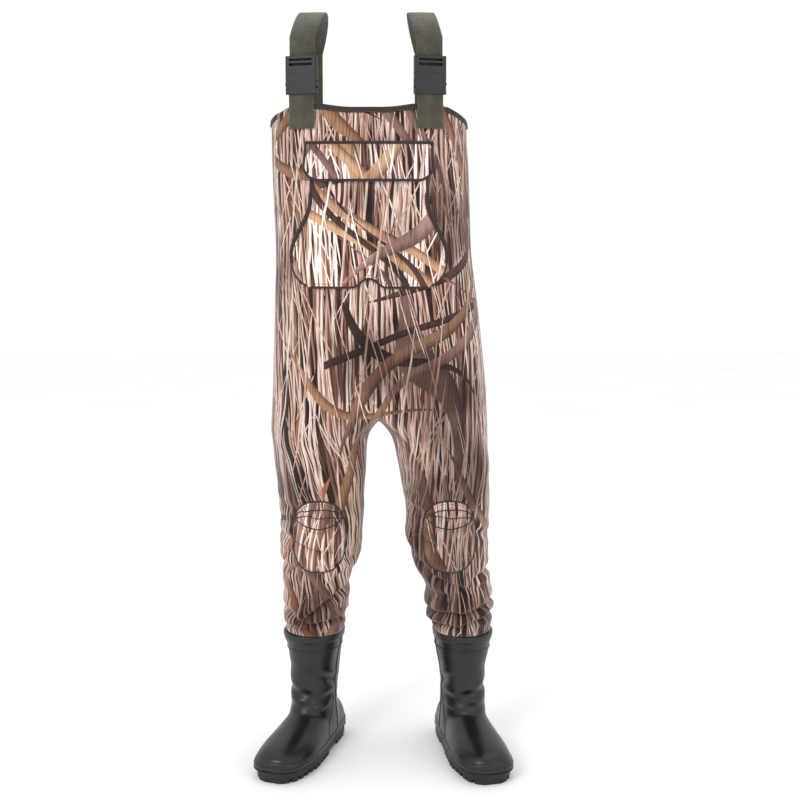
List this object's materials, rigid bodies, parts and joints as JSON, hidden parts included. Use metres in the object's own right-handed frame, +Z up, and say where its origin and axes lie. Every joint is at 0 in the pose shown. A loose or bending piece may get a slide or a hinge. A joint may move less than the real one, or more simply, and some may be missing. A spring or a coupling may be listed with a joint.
{
  "type": "chest waders",
  "caption": "Camouflage neoprene chest waders with rubber boots, buckled shoulder straps, a chest pocket with a flap and padded knees.",
  "frame": {"origin": "centre of the outline on the floor between the boots", "axes": "+X to the wearer's left, +Y to the wearer's back, +Z up"},
  "size_m": [0.4942, 0.3039, 1.4544],
  "materials": {
    "camo_neoprene": "matte knitted jersey on neoprene",
    "camo_patch_fabric": "matte knitted jersey on neoprene",
    "dark_binding": "ribbed binding tape",
    "olive_webbing": "ribbed nylon webbing",
    "hook_and_loop": "fuzzy tape",
    "pad_foam": "soft closed-cell foam",
    "buckle_plastic": "moulded acetal",
    "boot_rubber": "satin moulded rubber",
    "boot_band_rubber": "fine ribbed rubber",
    "sole_rubber": "matte moulded rubber",
    "insole_felt": "needled felt"
  },
  "bodies": {
    "bib": {"bib_front": "camo_neoprene", "bib_back": "camo_neoprene", "top_binding": "dark_binding", "right_side_seam_tape": "dark_binding", "left_side_seam_tape": "dark_binding", "right_thigh_front": "camo_neoprene", "right_thigh_back": "camo_neoprene", "left_thigh_front": "camo_neoprene", "left_thigh_back": "camo_neoprene", "pocket_lining": "camo_patch_fabric", "pocket_pouch": "camo_patch_fabric", "pocket_binding": "dark_binding", "pocket_loop_strip": "hook_and_loop", "flap_header": "dark_binding", "right_strap": "olive_webbing", "left_strap": "olive_webbing", "right_strap_tab": "olive_webbing", "left_strap_tab": "olive_webbing", "right_back_patch": "olive_webbing", "left_back_patch": "olive_webbing", "right_buckle_socket": "buckle_plastic", "left_buckle_socket": "buckle_plastic"},
    "flap": {"pocket_flap": "camo_patch_fabric", "flap_piping": "dark_binding", "flap_hook_strip": "hook_and_loop"},
    "right_plug": {"right_buckle_plug": "buckle_plastic"},
    "right_prong_outer": {"right_prong_outer": "buckle_plastic"},
    "right_prong_inner": {"right_prong_inner": "buckle_plastic"},
    "right_lower_leg": {"right_knee_sleeve": "camo_neoprene", "right_knee_foam": "pad_foam", "right_knee_pad": "camo_patch_fabric", "right_shin": "camo_neoprene", "right_boot_upper": "boot_rubber", "right_boot_cuff": "boot_rubber", "right_toe_cap": "boot_band_rubber", "right_heel_counter": "boot_band_rubber", "right_outsole": "sole_rubber", "right_heel_block": "sole_rubber", "right_insole": "insole_felt"},
    "left_plug": {"left_buckle_plug": "buckle_plastic"},
    "left_prong_outer": {"left_prong_outer": "buckle_plastic"},
    "left_prong_inner": {"left_prong_inner": "buckle_plastic"},
    "left_lower_leg": {"left_knee_sleeve": "camo_neoprene", "left_knee_foam": "pad_foam", "left_knee_pad": "camo_patch_fabric", "left_shin": "camo_neoprene", "left_boot_upper": "boot_rubber", "left_boot_cuff": "boot_rubber", "left_toe_cap": "boot_band_rubber", "left_heel_counter": "boot_band_rubber", "left_outsole": "sole_rubber", "left_heel_block": "sole_rubber", "left_insole": "insole_felt"}
  },
  "joints": [
    {"name": "flap_lift", "type": "hinge", "parent": "bib", "child": "flap", "pos_m": [-0.02542, -0.11047, 1.203], "axis": [-1, 0, 0], "range_deg": [0, 150]},
    {"name": "right_plug_slide", "type": "slide", "parent": "bib", "child": "right_plug", "axis": [0, 0, 1], "range_m": [0, 0.036], "deforming": ["right_prong_outer", "right_prong_inner"]},
    {"name": "right_prong_outer_squeeze", "type": "hinge", "parent": "right_plug", "child": "right_prong_outer", "pos_m": [-0.16144, -0.0842, 1.33], "axis": [-0.2713, -0.9625, 0], "range_deg": [0, 14], "stiffness_Nm_per_rad": 0.3},
    {"name": "right_prong_inner_squeeze", "type": "hinge", "parent": "right_plug", "child": "right_prong_inner", "pos_m": [-0.13449, -0.0918, 1.33], "axis": [0.2713, 0.9625, 0], "range_deg": [0, 14], "stiffness_Nm_per_rad": 0.3},
    {"name": "left_plug_slide", "type": "slide", "parent": "bib", "child": "left_plug", "axis": [0, 0, 1], "range_m": [0, 0.036], "deforming": ["left_prong_outer", "left_prong_inner"]},
    {"name": "left_prong_outer_squeeze", "type": "hinge", "parent": "left_plug", "child": "left_prong_outer", "pos_m": [0.10063, -0.08514, 1.33], "axis": [-0.2551, 0.9669, 0], "range_deg": [0, 14], "stiffness_Nm_per_rad": 0.3},
    {"name": "left_prong_inner_squeeze", "type": "hinge", "parent": "left_plug", "child": "left_prong_inner", "pos_m": [0.07355, -0.09229, 1.33], "axis": [0.2551, -0.9669, 0], "range_deg": [0, 14], "stiffness_Nm_per_rad": 0.3},
    {"name": "right_knee", "type": "hinge", "parent": "bib", "child": "right_lower_leg", "pos_m": [-0.12342, 0.06595, 0.45], "axis": [1, 0, 0], "range_deg": [0, 70], "deforming": ["right_knee_sleeve", "right_knee_foam", "right_knee_pad"]},
    {"name": "left_knee", "type": "hinge", "parent": "bib", "child": "left_lower_leg", "pos_m": [0.12658, 0.06595, 0.45], "axis": [1, 0, 0], "range_deg": [0, 70], "deforming": ["left_knee_sleeve", "left_knee_foam", "left_knee_pad"]}
  ]
}
